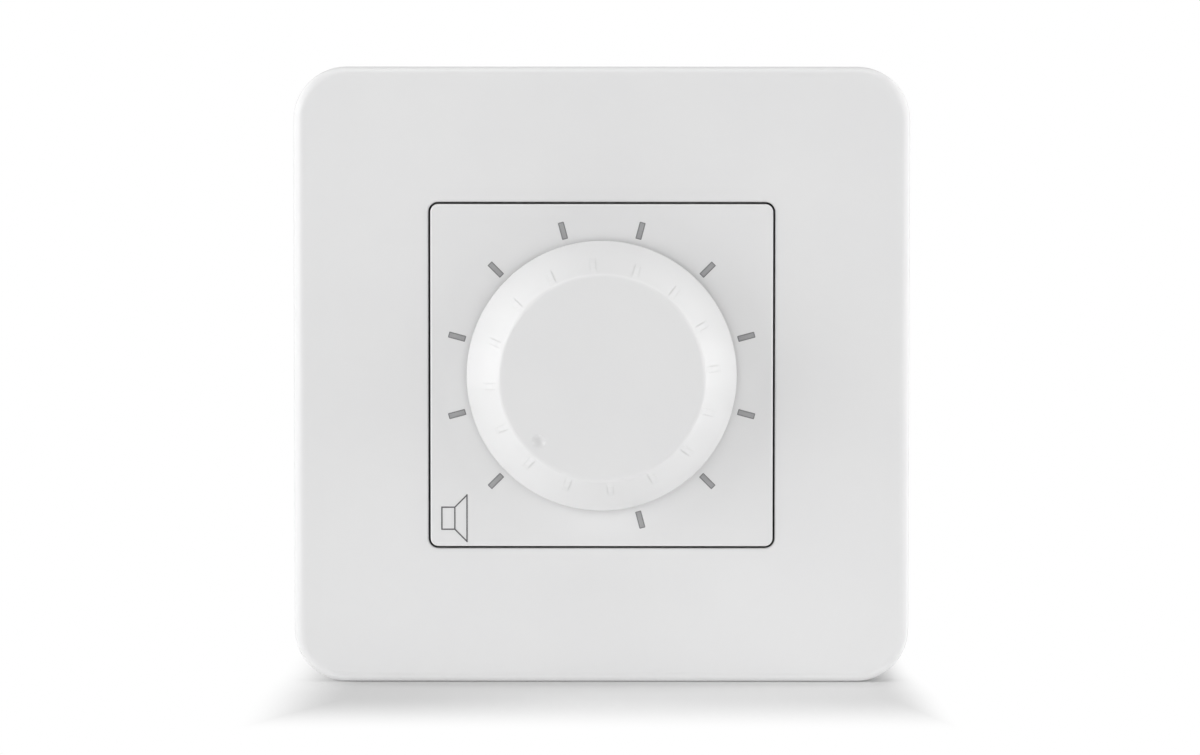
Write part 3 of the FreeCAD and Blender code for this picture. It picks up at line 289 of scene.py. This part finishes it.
class Finish(Wiring):
    """A procedural material under construction. A colour or number on its shader holds until a pattern
    feeds that socket instead."""

    def __init__(self, name, colour, roughness, metallic=0.0):
        self.material = bpy.data.materials.new(name)
        self.material.use_nodes = True
        super().__init__(self.material.node_tree)
        self.shader = self.tree.nodes["Principled BSDF"]
        self.put("Base Color", colour)
        self.put("Roughness", roughness)
        self.put("Metallic", metallic)
        self.place = self.node("TexCoord").outputs["Object"]
        self.relief = None

    def put(self, socket, source):
        """Sets or feeds a socket of the shader."""
        self.feed(self.shader.inputs[socket], source)

    def noise_at(self, place, scale, detail, stretch):
        """Noise with this many grains to a unit of the place, times the stretch along X, Y and Z."""
        stretched = self.node("Mapping", {"Vector": place, "Scale": stretch}).outputs["Vector"]
        return self.node("TexNoise", {"Vector": stretched, "Scale": scale, "Detail": detail}).outputs["Fac"]

    def noise(self, grain_mm, detail=2.0, stretch=(1, 1, 1)):
        """Noise on the piece, whose grains are about this many millimetres across."""
        return self.noise_at(self.place, 1 / (grain_mm * MM), detail, stretch)

    def patches(self, low, high, grain_mm, detail=3.0, stretch=(1, 1, 1), contrast=noise_contrast):
        """A number that drifts from low to high in soft patches."""
        return self.straight(self.noise(grain_mm, detail, stretch), *contrast, low, high)

    def blend(self, share, first, second):
        """The first colour where the share is 0 and the second where it is 1."""
        first_colour, second_colour, result = 6, 7, 2
        feeds = {"Factor": share, first_colour: first, second_colour: second}
        return self.node("Mix", feeds, data_type="RGBA").outputs[result]

    def scaled(self, colour, share):
        """A colour times a share."""
        return self.node("VectorMath", {0: colour, "Scale": share}, operation="SCALE").outputs[0]

    def cloud_colour(self, dark, light, grain_mm, detail=3.0, contrast=noise_contrast):
        """The colour drifts from dark to light in soft patches."""
        clouds = self.patches(low=0.0, high=1.0, grain_mm=grain_mm, detail=detail, contrast=contrast)
        self.put("Base Color", self.blend(clouds, dark, light))

    def cloud_roughness(self, low, high, grain_mm, detail=3.0, stretch=(1, 1, 1)):
        """The roughness drifts from low to high in soft patches."""
        self.put("Roughness", self.patches(low, high, grain_mm, detail, stretch))

    def coat(self, weight, roughness):
        """A clear layer on top."""
        self.put("Coat Weight", weight)
        self.put("Coat Roughness", roughness)

    def soften_edges(self, radius_mm):
        """Edges shade as if rounded by this radius."""
        self.relief = self.node("Bevel", {"Radius": radius_mm * MM}, samples=edge_samples).outputs["Normal"]
        self.put("Normal", self.relief)

    def emboss(self, height, depth_mm):
        """Relief of a depth in millimetres, on top of what is there."""
        feeds = {"Height": height, "Distance": depth_mm * MM}
        if self.relief is not None:
            feeds["Normal"] = self.relief
        self.relief = self.node("Bump", feeds).outputs["Normal"]
        self.put("Normal", self.relief)

    def waves(self, along, pitch):
        """A sine wave of this pitch along a length."""
        return self.maths("SINE", self.maths("MULTIPLY", along, 2 * math.pi / pitch))

    def facing(self):
        """How squarely the surface faces along the knob's axis, either way: 1 on faces and 0 on walls."""
        normal = self.parts(self.node("TexCoord").outputs["Normal"])
        return self.maths("ABSOLUTE", normal["Y"])

    def on_walls(self):
        """1 on walls that stand square to the face, and 0 elsewhere."""
        return self.maths("LESS_THAN", self.facing(), wall_limit)

    def off_axis(self):
        """Distance from the knob's axis: the square root of the sum of the squares of X and Z."""
        x, _, z = self.parts(self.place)
        squares = [self.maths("POWER", side, 2.0) for side in (x, z)]
        return self.maths("SQRT", self.maths("ADD", *squares))


def seen_directly(wiring):
    """1 for what the camera sees directly, in a gloss or through glass, and 0 for lighting."""
    rays = wiring.node("LightPath").outputs
    either = wiring.maths("MAXIMUM", rays["Is Camera Ray"], rays["Is Glossy Ray"])
    return wiring.maths("MAXIMUM", either, rays["Is Transmission Ray"])


def white_world():
    """Even studio light, with a pure white background where it is seen directly."""
    world = bpy.data.worlds.new("studio")
    bpy.context.scene.world = world
    world.use_nodes = True
    studio = Wiring(world.node_tree)
    white = (1, 1, 1)
    lighting = world.node_tree.nodes["Background"]
    studio.feed(lighting.inputs["Color"], white)
    studio.feed(lighting.inputs["Strength"], ambient_level)
    backdrop = studio.node("Background", {"Color": white, "Strength": 1.0})
    both = studio.mixed(seen_directly(studio), lighting.outputs[0], backdrop.outputs[0])
    studio.finish_with(both, "World Output")


def white_away(paper, x, y):
    """From 0 in the object's shadow to 1 where the paper is pure white, by the place on the floor."""
    plate_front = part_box("cover_frame")[0].y
    start, end = (plate_front + part for part in corner_fade_over)
    beside = paper.ramp(y, start, end, 0.0, corner_fade_shift)
    left = paper.ramp(paper.maths("SUBTRACT", x, beside), *fade_left)
    right = paper.ramp(paper.maths("ADD", x, beside), *fade_right)
    sideways = paper.maths("MAXIMUM", left, right)
    in_front = paper.ramp(y, *fade_in_front)
    behind = paper.ramp(y, *fade_behind)
    return paper.maths("MAXIMUM", sideways, paper.maths("MAXIMUM", in_front, behind))


def floor_paper():
    """Matt white paper on a light table. It takes shadows, has a painted shadow close in front of the plate
    and painted shade that darkens it towards the left, and fades to pure white away from the object. From
    below, and for shadow rays, it is clear, so the lamp below it shines through."""
    made = Finish("floor_paper", (paper_shade, paper_shade, paper_shade), roughness=1.0)
    made.put("Specular IOR Level", 0.0)
    x, y, _ = made.parts(made.place)
    plate_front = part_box("cover_frame")[0].y
    # Painted shadow: the paper darkens close in front of the plate
    shade = made.ramp(y, plate_front - painted_contact_reach, plate_front, paper_shade, painted_contact_shadow)
    # Painted shade: the paper is darker to the left of the middle
    lean = made.ramp(x, *painted_shade_lean_over, *painted_shade_lean)
    made.put("Base Color", made.maths("MULTIPLY", shade, lean))
    white = made.node("Emission").outputs[0]
    bright = made.maths("MULTIPLY", white_away(made, x, y), seen_directly(made))
    look = made.mixed(bright, made.shader.outputs[0], white)
    clear = made.node("BsdfTransparent").outputs[0]
    from_below = made.node("NewGeometry").outputs["Backfacing"]
    for_shadow = made.node("LightPath").outputs["Is Shadow Ray"]
    through = made.maths("MAXIMUM", from_below, for_shadow)
    made.finish_with(made.mixed(through, look, clear), "Material Output")
    return made.material


def studio_floor():
    """Square floor under the object's lower edge."""
    reach = floor_reach
    low = cad_box[0].z
    mesh = bpy.data.meshes.new("studio_floor")
    corners = [(-reach, -reach, low), (reach, -reach, low), (reach, reach, low), (-reach, reach, low)]
    mesh.from_pydata(corners, [], [(0, 1, 2, 3)])
    mesh.materials.append(floor_paper())
    floor = bpy.data.objects.new("studio_floor", mesh)
    bpy.context.scene.collection.objects.link(floor)


def painted_gap_shade(made):
    """Painted shade mask: 1 on the walls of the narrow gap round the insert, from just behind its face to the
    collar's back.
    """
    x, y, z = made.parts(made.place)
    out = made.maths("MAXIMUM", made.maths("ABSOLUTE", x), made.maths("ABSOLUTE", z))
    from_gap = made.maths("ABSOLUTE", made.maths("SUBTRACT", out, gap_half))
    near = made.maths("LESS_THAN", from_gap, gap_spread)
    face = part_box("module_front")[0].y
    behind_face = made.straight(y, face + painted_gap_shade_from[0], face + painted_gap_shade_from[1])
    before_back = made.maths("LESS_THAN", y, collar_back)
    deep = made.maths("MULTIPLY", behind_face, before_back)
    return made.maths("MULTIPLY", made.maths("MULTIPLY", near, made.on_walls()), deep)


def moulded_white(name, shade, roughness, edge_mm, painted_light_lift=0.0, painted_wall_shade=1.0, with_painted_gap_shade=False):
    """Glossy white thermoplastic: faint clouds in the colour, a fine skin and long shallow waves. Painted
    light makes it paler by the lift share in a ring round the knob's foot, painted shade gives walls that
    stand square to the face the wall's share of its shade, and painted gap shade darkens the walls of the gap
    round the insert."""
    white = (shade, shade, shade)
    made = Finish(name, white, roughness)
    dusk = tuple(shade * part for part in cloud_tone)
    colour = made.blend(made.patches(low=0.0, high=1.0, grain_mm=14.0), dusk, white)
    # Painted light: a paler ring round the knob's foot
    if painted_light_lift:
        colour = made.scaled(colour, made.ramp(made.off_axis(), *painted_light_ring, 1.0 + painted_light_lift, 1.0))
    # Painted shade: walls that stand square to the face are darker
    if painted_wall_shade < 1.0:
        colour = made.scaled(colour, made.ramp(made.facing(), *painted_wall_turn, painted_wall_shade, 1.0))
    # Painted shade: the walls of the gap round the insert are dark
    if with_painted_gap_shade:
        colour = made.blend(painted_gap_shade(made), colour, painted_gap_shade_colour)
    made.put("Base Color", colour)
    smooth, rough = (roughness * part for part in roughness_spread)
    made.cloud_roughness(smooth, rough, grain_mm=5.0, detail=1.0)
    made.soften_edges(radius_mm=edge_mm)
    made.emboss(made.noise(grain_mm=0.35), depth_mm=0.0004)
    made.emboss(made.noise(grain_mm=9.0, detail=1.0), depth_mm=0.003)
    return made.material


def printed_grey():
    """Grey pad-printed ink with a slightly uneven coat."""
    made = Finish("printed_grey", (0.11, 0.11, 0.115), roughness=0.50)
    made.cloud_colour(dark=(0.085, 0.085, 0.09), light=(0.13, 0.13, 0.135), grain_mm=0.25)
    made.emboss(made.noise(grain_mm=0.12), depth_mm=0.002)
    return made.material


def printed_marks():
    """The same ink on a dial mark: pale in the middle with fine streaks lengthwise, dark along its edge. In
    its picture plane a mark is one unit wide and one unit long, with its middle at one half."""
    made = Finish("printed_marks", (0.34, 0.34, 0.345), roughness=0.45)
    on_mark = made.node("TexCoord").outputs["UV"]
    across, along, _ = made.parts(on_mark)
    inward = []
    for share, size in ((across, mark_width), (along, mark_length)):
        off_middle = made.maths("ABSOLUTE", made.maths("SUBTRACT", share, 0.5))
        from_edge = made.maths("MULTIPLY", made.maths("SUBTRACT", 0.5, off_middle), size)
        start, end = (part * mark_border for part in mark_border_blur)
        inward.append(made.straight(from_edge, start, end))
    middle = made.maths("MINIMUM", *inward)
    noise = made.noise_at(on_mark, scale=1.0, detail=2.0, stretch=mark_streaks)
    streaks = made.straight(noise, *mark_streak_contrast)
    fill = made.blend(streaks, (0.30, 0.30, 0.305), (0.39, 0.39, 0.395))
    made.put("Base Color", made.blend(middle, (0.19, 0.19, 0.195), fill))
    made.emboss(streaks, depth_mm=0.002)
    return made.material


def zinc_plate():
    """Zinc-plated sheet: fine rolling lines, cloudy lustre, a bluish cast in places."""
    made = Finish("zinc_plate", (0.60, 0.61, 0.63), roughness=0.38, metallic=1.0)
    made.cloud_colour(dark=(0.55, 0.56, 0.585), light=(0.62, 0.62, 0.625), grain_mm=7.0)
    made.cloud_roughness(low=0.34, high=0.44, grain_mm=1.6, stretch=(0.3, 1, 1))
    made.soften_edges(radius_mm=0.10)
    made.emboss(made.noise(grain_mm=0.25, stretch=(0.06, 1, 1)), depth_mm=0.0015)
    return made.material


def spring_steel():
    """Bright hardened strip with fine drawing lines."""
    made = Finish("spring_steel", (0.50, 0.50, 0.52), roughness=0.30, metallic=1.0)
    made.cloud_colour(dark=(0.42, 0.42, 0.45), light=(0.56, 0.56, 0.57), grain_mm=1.5)
    made.soften_edges(radius_mm=0.05)
    made.emboss(made.noise(grain_mm=0.15, stretch=(1, 0.1, 1)), depth_mm=0.001)
    return made.material


def turned_metal(name, dark, light, roughness, groove_mm):
    """Metal turned on a lathe round the knob's axis: rings of fine grooves, on faces and along the sides."""
    made = Finish(name, light, roughness, metallic=1.0)
    made.cloud_colour(dark, light, grain_mm=2.0)
    path = made.maths("ADD", made.off_axis(), made.parts(made.place)["Y"])
    made.soften_edges(radius_mm=0.08)
    made.emboss(made.waves(path, pitch=groove_mm * MM), depth_mm=0.0006)
    return made.material


def black_moulding():
    """Dark phenolic moulding with mineral specks."""
    made = Finish("black_moulding", (0.03, 0.03, 0.033), roughness=0.42)
    made.cloud_colour(dark=(0.022, 0.022, 0.025), light=(0.07, 0.068, 0.066), grain_mm=0.12,
                      contrast=speck_contrast)
    made.cloud_roughness(low=0.34, high=0.52, grain_mm=1.0)
    made.soften_edges(radius_mm=0.10)
    made.emboss(made.noise(grain_mm=0.3), depth_mm=0.003)
    return made.material


def tinned_bronze():
    """Contact strip with a thin tin coat that the bronze shows through."""
    made = Finish("tinned_bronze", (0.70, 0.60, 0.42), roughness=0.30, metallic=1.0)
    made.cloud_colour(dark=(0.66, 0.52, 0.30), light=(0.74, 0.70, 0.60), grain_mm=0.8, detail=4.0)
    made.soften_edges(radius_mm=0.05)
    made.emboss(made.noise(grain_mm=0.2, stretch=(1, 0.2, 1)), depth_mm=0.001)
    return made.material


def solder_mask():
    """Green lacquer over glass cloth: the weave shows as a faint grid."""
    made = Finish("solder_mask", (0.03, 0.16, 0.06), roughness=0.28)
    made.cloud_colour(dark=(0.022, 0.135, 0.05), light=(0.034, 0.175, 0.07), grain_mm=4.0)
    made.coat(weight=0.5, roughness=0.12)
    x, _, z = made.parts(made.place)
    made.soften_edges(radius_mm=0.05)
    cloth = made.maths("MULTIPLY", made.waves(x, weave_pitch), made.waves(z, weave_pitch))
    made.emboss(cloth, depth_mm=0.003)
    return made.material


def lacquered_copper():
    """Track under the solder mask: the copper lends the green a paler, warmer tone."""
    made = Finish("lacquered_copper", (0.06, 0.24, 0.075), roughness=0.26, metallic=0.15)
    made.cloud_colour(dark=(0.05, 0.205, 0.06), light=(0.07, 0.26, 0.085), grain_mm=1.5)
    made.coat(weight=0.5, roughness=0.12)
    made.emboss(made.noise(grain_mm=0.5), depth_mm=0.002)
    return made.material


def soft_solder():
    """Solder that has set with a slightly wrinkled skin."""
    made = Finish("soft_solder", (0.70, 0.71, 0.72), roughness=0.26, metallic=1.0)
    made.cloud_roughness(low=0.18, high=0.42, grain_mm=0.4)
    made.emboss(made.noise(grain_mm=0.3, detail=3.0), depth_mm=0.01)
    return made.material


def core_sheets():
    """Stamped silicon steel: blue-grey film, each sheet's cut edge a shade of its own, dark seams between."""
    made = Finish("core_sheets", (0.24, 0.25, 0.27), roughness=0.45, metallic=0.9)
    stack = made.maths("SUBTRACT", made.parts(made.place)["Y"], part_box("e_laminations")[0].y)
    sheets = made.maths("DIVIDE", stack, sheet_pitch)
    off_middle = made.maths("ABSOLUTE", made.maths("SUBTRACT", made.maths("FRACT", sheets), sheet_middle))
    seam = made.maths("MULTIPLY", made.straight(off_middle, *seam_from_middle), made.on_walls())
    tone = made.node("TexWhiteNoise", {"W": made.maths("FLOOR", sheets)}, noise_dimensions="1D")
    own_tone = made.maths("MULTIPLY", tone.outputs["Value"], 1 - grain_share)
    grain = made.patches(low=0.0, high=grain_share, grain_mm=0.6, stretch=(1, 1, 0.3))
    film = made.blend(made.maths("ADD", grain, own_tone), (0.19, 0.20, 0.225), (0.33, 0.33, 0.345))
    made.put("Base Color", made.blend(seam, film, (0.05, 0.045, 0.04)))
    made.cloud_roughness(low=0.38, high=0.52, grain_mm=1.1)
    sunk_seam = made.maths("MULTIPLY", seam, -1.0)
    made.emboss(sunk_seam, depth_mm=0.03)
    made.emboss(made.noise(grain_mm=0.2), depth_mm=0.002)
    return made.material


def enamelled_copper():
    """Copper wire under clear amber enamel."""
    made = Finish("enamelled_copper", (0.72, 0.30, 0.13), roughness=0.26, metallic=1.0)
    made.cloud_colour(dark=(0.60, 0.22, 0.08), light=(0.80, 0.36, 0.16), grain_mm=0.9)
    made.coat(weight=0.6, roughness=0.15)
    made.emboss(made.noise(grain_mm=0.3), depth_mm=0.002)
    return made.material


def amber_tape():
    """Yellow polyester tape: glossy film over adhesive, with flat wrinkles, and the wires pressed through."""
    made = Finish("amber_tape", (0.78, 0.52, 0.06), roughness=0.22)
    made.cloud_colour(dark=(0.72, 0.45, 0.045), light=(0.84, 0.60, 0.09), grain_mm=2.5)
    made.coat(weight=0.4, roughness=0.08)
    wires = made.waves(made.parts(made.place)["Z"], wire_pitch)
    made.emboss(made.maths("MULTIPLY", wires, made.noise(grain_mm=5.0)), depth_mm=0.012)
    made.emboss(made.noise(grain_mm=1.8, stretch=(1, 1, 0.25)), depth_mm=0.02)
    return made.material


def green_moulding():
    """Green glass-filled nylon with a matt grain."""
    made = Finish("green_moulding", (0.04, 0.24, 0.09), roughness=0.45)
    made.cloud_colour(dark=(0.032, 0.20, 0.075), light=(0.05, 0.27, 0.105), grain_mm=1.0, detail=4.0)
    made.soften_edges(radius_mm=0.10)
    made.emboss(made.noise(grain_mm=0.15, detail=3.0), depth_mm=0.004)
    return made.material


def finishes():
    """One material for each material slot of the record."""
    return {
        # Painted shade on the frame's walls and on the gap's walls, and a painted light ring on the insert
        # round the knob
        "white_frame": moulded_white("white_frame", shade=0.80, roughness=0.28, edge_mm=0.12,
                                     painted_wall_shade=0.75, with_painted_gap_shade=True),
        "white_insert": moulded_white("white_insert", shade=0.79, roughness=0.28, edge_mm=0.12,
                                      painted_light_lift=0.035, with_painted_gap_shade=True),
        "white_knob": moulded_white("white_knob", shade=0.78, roughness=0.16, edge_mm=0.30),
        "grey_ink": printed_grey(),
        "zinc_steel": zinc_plate(),
        "spring_steel": spring_steel(),
        "nickel_metal": turned_metal("nickel_metal", dark=(0.60, 0.58, 0.55), light=(0.70, 0.68, 0.64),
                                     roughness=0.24, groove_mm=0.12),
        "shaft_metal": turned_metal("shaft_metal", dark=(0.70, 0.52, 0.24), light=(0.80, 0.62, 0.30),
                                    roughness=0.28, groove_mm=0.15),
        "black_plastic": black_moulding(),
        "contact_metal": tinned_bronze(),
        "board_laminate": solder_mask(),
        "solder": soft_solder(),
        "core_steel": core_sheets(),
        "copper": enamelled_copper(),
        "tape": amber_tape(),
        "terminal_plastic": green_moulding(),
    }


def skin(rings):
    """Points, quads and end faces of a solid: each ring closes on itself and is joined to the next."""
    rows, around = rings.shape[:2]
    low = np.arange(rows - 1)[:, None] * around
    here = np.arange(around)[None, :]
    after = (here + 1) % around
    corners = [low + here, low + after, low + around + after, low + around + here]
    quads = np.stack(corners, axis=-1).reshape(-1, 4)
    return rings.reshape(-1, 3), quads, [np.arange(around), np.arange(around) + (rows - 1) * around]


def piece(name, skins, material, stands_for=(), smooth=False):
    """One object of closed skins with their faces outward. It rides on the module."""
    points, faces, start = [], [], 0
    for own_points, quads, ends in skins:
        points.append(own_points)
        faces += (quads + start).tolist() + [(end + start).tolist() for end in ends]
        start += len(own_points)
    mesh = bpy.data.meshes.new(name)
    mesh.from_pydata(np.concatenate(points).tolist(), [], faces)
    work = bmesh.new()
    work.from_mesh(mesh)
    bmesh.ops.remove_doubles(work, verts=work.verts, dist=merge_distance)
    bmesh.ops.recalc_face_normals(work, faces=work.faces)
    work.to_mesh(mesh)
    work.free()
    mesh.polygons.foreach_set("use_smooth", [smooth] * len(mesh.polygons))
    mesh.materials.append(material)
    made = bpy.data.objects.new(name, mesh)
    bpy.context.scene.collection.objects.link(made)
    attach(made, "module")
    if stands_for:
        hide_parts(*stands_for)
    return made


def lay_uv(made, coordinates):
    """Gives every vertex of a piece its own point of a picture plane."""
    corner_points = np.empty(len(made.data.loops), dtype=int)
    made.data.loops.foreach_get("vertex_index", corner_points)
    layer = made.data.uv_layers.new(name="print")
    layer.data.foreach_set("uv", coordinates[corner_points].astype(np.float32).ravel())


def dial_marks(material):
    """Eleven bars of ink. A bar is a stack of rings, each a rounded rectangle. From ring to ring the rise
    goes through a quarter circle: the height follows its sine, and the corners, and with them the sides,
    draw in by one less its cosine."""
    low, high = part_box("dial_marks")
    quarter = np.linspace(0, 90, points_in_quarter)
    rise = np.radians(quarter)[:, None, None]
    round_corner = np.radians(np.arange(4)[:, None] * 90 + quarter)[None, :, :]
    side_across = np.array([1, -1, -1, 1])[None, :, None]
    side_along = np.array([1, 1, -1, -1])[None, :, None]
    corner = mark_corner - mark_edge * (1 - np.cos(rise))
    middle_across = mark_width / 2 - mark_corner
    middle_along = mark_length / 2 - mark_corner
    across = side_across * middle_across + corner * np.cos(round_corner)
    along = side_along * middle_along + corner * np.sin(round_corner)
    across, along = (side.reshape(points_in_quarter, -1) for side in (across, along))
    height = np.broadcast_to((high.y - low.y) * np.sin(rise[:, :, 0]), across.shape)
    skins = []
    for turn in np.radians(first_mark_degrees + mark_step_degrees * np.arange(mark_count)):
        out = mark_circle + along
        x = out * np.sin(turn) + across * np.cos(turn)
        z = out * np.cos(turn) - across * np.sin(turn)
        skins.append(skin(np.stack([x, high.y - height, z], axis=-1)))
    made = piece("ink_marks", skins, material, ["dial_marks"])
    one = np.stack([0.5 + across / mark_width, 0.5 + along / mark_length], axis=-1).reshape(-1, 2)
    lay_uv(made, np.tile(one, (mark_count, 1)))


def board_tracks(material):
    """Flat bars with sloped edges along the listed routes. At a bend the section lies on the mitre, half way
    between the two directions, and widens by one over the cosine of half the bend."""
    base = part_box("circuit_board")[1].y
    slope = track_edge / track_width
    section_across = np.array([-0.5, -0.5 + slope, 0.5 - slope, 0.5])
    section_up = np.array([0.0, track_height, track_height, 0.0])
    skins = []
    for side in (-1, 1):
        for route in track_routes:
            spots = np.array(route) * MM * (side, 1)
            runs = np.diff(spots, axis=0)
            runs /= np.linalg.norm(runs, axis=1)[:, None]
            before = np.concatenate([runs[:1], runs])
            after = np.concatenate([runs, runs[-1:]])
            mitre = before + after
            mitre /= np.linalg.norm(mitre, axis=1)[:, None]
            widen = track_width / np.sum(mitre * before, axis=1)
            across = np.stack([mitre[:, 1], -mitre[:, 0]], axis=1) * widen[:, None]
            place = spots[:, None, :] + across[:, None, :] * section_across[None, :, None]
            height = np.broadcast_to(base + section_up, place.shape[:2])
            skins.append(skin(np.stack([place[..., 0], height, place[..., 1]], axis=-1)))
    piece("board_tracks", skins, material)


def coil_wrap(material):
    """Tape wound round the coil. In plan it is a superellipse: X and Y go with the cosine and the sine of
    the turn, each to the power of two over the squareness. Along Z its outside has a shallow crown, one less
    the square of the height. On the way round it creeps inward by one lap, so its loose end is a step."""
    low, high = (np.array(corner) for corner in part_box("coil_tape"))
    middle = (low + high) / 2
    half = (high - low) / 2
    way = np.linspace(0, 1, tape_points_round)[:, None]
    turn = tape_end + 2 * math.pi * way
    power = 2 / tape_squareness
    plan_x = np.sign(np.cos(turn)) * np.abs(np.cos(turn)) ** power
    plan_y = np.sign(np.sin(turn)) * np.abs(np.sin(turn)) ** power
    up = np.linspace(-1, 1, tape_points_up)
    outside = -tape_lap * way + tape_crown * (1 - up ** 2)[None, :] - tape_crown
    inside = np.full_like(outside, -tape_thickness)[:, ::-1]
    depth = np.concatenate([outside, inside], axis=1)
    height = np.concatenate([up, up[::-1]])[None, :]
    x = middle[0] + plan_x * (half[0] + depth)
    y = middle[1] + plan_y * (half[1] + depth)
    z = np.broadcast_to(middle[2] + half[2] * height, x.shape)
    piece("wound_tape", [skin(np.stack([x, y, z], axis=-1))], material, ["coil_tape"], smooth=True)


def dress_nodes(materials):
    """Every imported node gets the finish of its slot."""
    for part in frame["record"]["subparts"]:
        node = frame["nodes"][part["node"]]
        node.data.materials.clear()
        node.data.materials.append(materials[part["material_slot"]])


photo_camera()
studio_lamps()
white_world()
studio_floor()
materials = finishes()
dress_nodes(materials)
dial_marks(printed_marks())
coil_wrap(materials["tape"])
board_tracks(lacquered_copper())
bpy.context.scene.view_settings.view_transform = "Standard"
